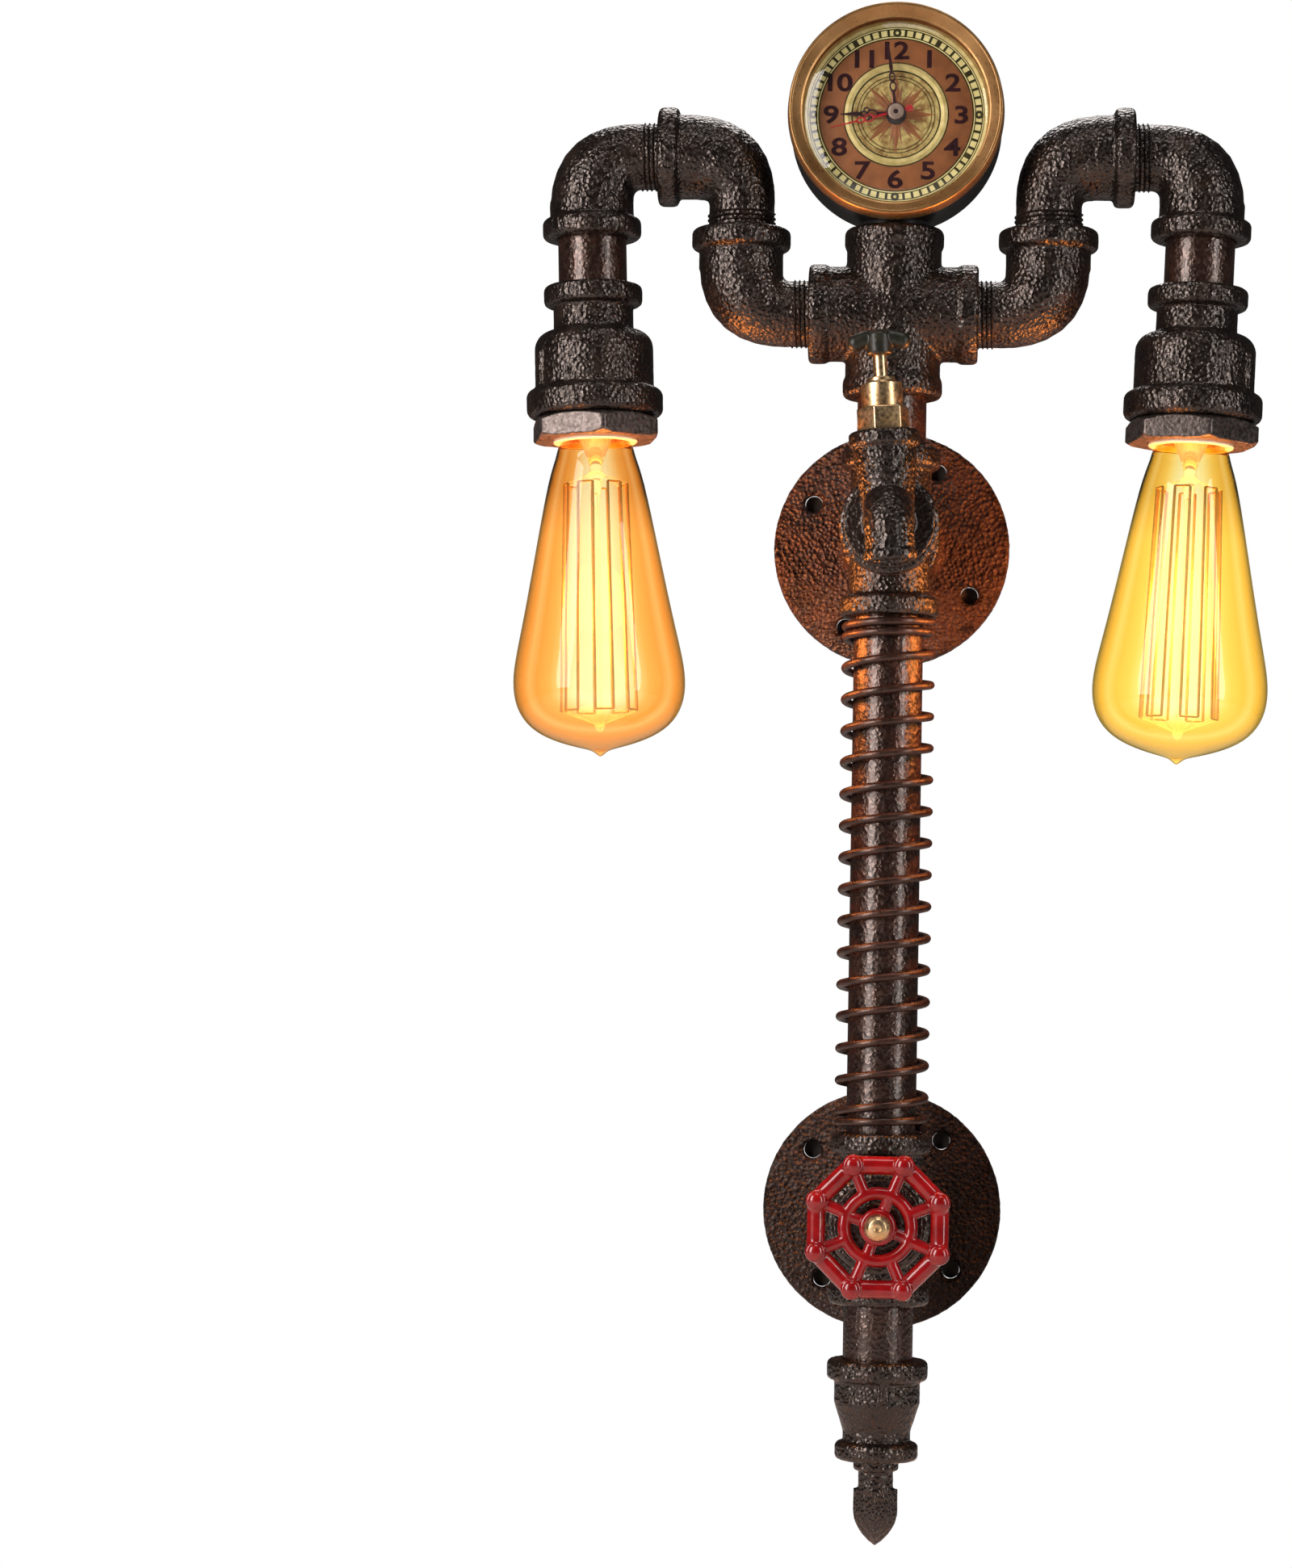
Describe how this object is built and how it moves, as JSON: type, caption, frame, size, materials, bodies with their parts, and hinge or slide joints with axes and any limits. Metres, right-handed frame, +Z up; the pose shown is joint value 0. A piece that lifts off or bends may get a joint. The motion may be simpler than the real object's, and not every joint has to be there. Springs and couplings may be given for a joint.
{
  "type": "wall lamp",
  "caption": "Industrial wall lamp of screwed iron pipe fittings with a coil spring round the riser, hanging filament bulbs on side arms, a clock on top, a tap and a red handwheel switch.",
  "frame": {"origin": "middle of the upper wall flange on the wall", "axes": "+Z up along the riser, +Y into the wall, -Y into the room, +X to the right as seen from the room"},
  "size_m": [0.2926, 0.1306, 0.5955],
  "materials": {
    "cast_iron": "rough cast, oiled dark brown",
    "pipe": "dark lacquered steel pipe",
    "spring_steel": "dark satin",
    "brass": "polished",
    "handle_black": "semi-gloss black",
    "spindle_steel": "bright steel",
    "red_enamel": "gloss enamel",
    "switch_plastic": "black",
    "clock_case": "gloss black",
    "bezel": "copper-gold, polished",
    "clock_glass": "clear",
    "dial": "printed copper and gold",
    "battery": "printed sleeve",
    "dark_hands": "dark lacquer",
    "red_hand": "red lacquer",
    "porcelain": "cream glaze",
    "bulb_glass": "amber tinted",
    "stem_glass": "clear",
    "filament": "glowing carbon wire"
  },
  "bodies": {
    "frame": {"upper_flange": "cast_iron", "lower_flange": "cast_iron", "upper_cross": "cast_iron", "lower_cross": "cast_iron", "top_cross": "cast_iron", "tail_reducer": "cast_iron", "finial": "cast_iron", "tap_body": "cast_iron", "switch_bushing": "cast_iron", "upper_wall_nipple": "pipe", "lower_wall_nipple": "pipe", "neck_nipple": "pipe", "riser_pipe": "pipe", "tail_nipple": "pipe", "spring": "spring_steel", "tap_bonnet": "brass", "tap_gland": "brass", "switch_body": "switch_plastic", "clock_case": "clock_case", "clock_bezel": "bezel", "clock_glass": "clock_glass", "clock_dial": "dial", "clock_movement": "switch_plastic", "clock_battery": "battery", "left_lower_elbow": "cast_iron", "right_lower_elbow": "cast_iron"},
    "left_arm": {"left_upper_elbow": "cast_iron", "left_drop_elbow": "cast_iron", "left_drop_nipple": "pipe", "left_socket_cup": "cast_iron", "left_socket_ring": "cast_iron", "left_lampholder": "porcelain", "left_lampholder_shell": "brass", "left_bulb_cap": "brass", "left_bulb_glass": "bulb_glass", "left_bulb_stem": "stem_glass", "left_bulb_filament": "filament"},
    "right_arm": {"right_upper_elbow": "cast_iron", "right_drop_elbow": "cast_iron", "right_drop_nipple": "pipe", "right_socket_cup": "cast_iron", "right_socket_ring": "cast_iron", "right_lampholder": "porcelain", "right_lampholder_shell": "brass", "right_bulb_cap": "brass", "right_bulb_glass": "bulb_glass", "right_bulb_stem": "stem_glass", "right_bulb_filament": "filament"},
    "handwheel": {"handwheel": "red_enamel", "wheel_nut": "brass", "switch_spindle": "spindle_steel"},
    "tap_handle": {"tap_handle": "handle_black", "tap_stem": "brass"},
    "hour_hand": {"hour_hand": "dark_hands"},
    "minute_hand": {"minute_hand": "dark_hands"},
    "second_hand": {"second_hand": "red_hand"}
  },
  "joints": [
    {"name": "left_arm_swing", "type": "hinge", "parent": "frame", "child": "left_arm", "pos_m": [-0.06, -0.06, 0.119], "axis": [0, 0, 1], "range_deg": [-20, 90]},
    {"name": "right_arm_swing", "type": "hinge", "parent": "frame", "child": "right_arm", "pos_m": [0.06, -0.06, 0.119], "axis": [0, 0, -1], "range_deg": [-20, 90]},
    {"name": "handwheel_turn", "type": "hinge", "parent": "frame", "child": "handwheel", "pos_m": [0, -0.113, -0.266], "axis": [0, 1, 0], "continuous": true},
    {"name": "tap_handle_turn", "type": "hinge", "parent": "frame", "child": "tap_handle", "pos_m": [-0.00419, -0.108, 0.05985], "axis": [-0.0698, 0, 0.9976], "range_deg": [0, 90]},
    {"name": "hour_hand_turn", "type": "hinge", "parent": "frame", "child": "hour_hand", "pos_m": [0, -0.0755, 0.162], "axis": [0, 1, 0], "continuous": true},
    {"name": "minute_hand_turn", "type": "hinge", "parent": "frame", "child": "minute_hand", "pos_m": [0, -0.0755, 0.162], "axis": [0, 1, 0], "continuous": true},
    {"name": "second_hand_turn", "type": "hinge", "parent": "frame", "child": "second_hand", "pos_m": [0, -0.0755, 0.162], "axis": [0, 1, 0], "continuous": true}
  ],
  "couplings": [
    {"joint": "hour_hand_turn", "follows": "minute_hand_turn", "ratio": 0.083333}
  ]
}
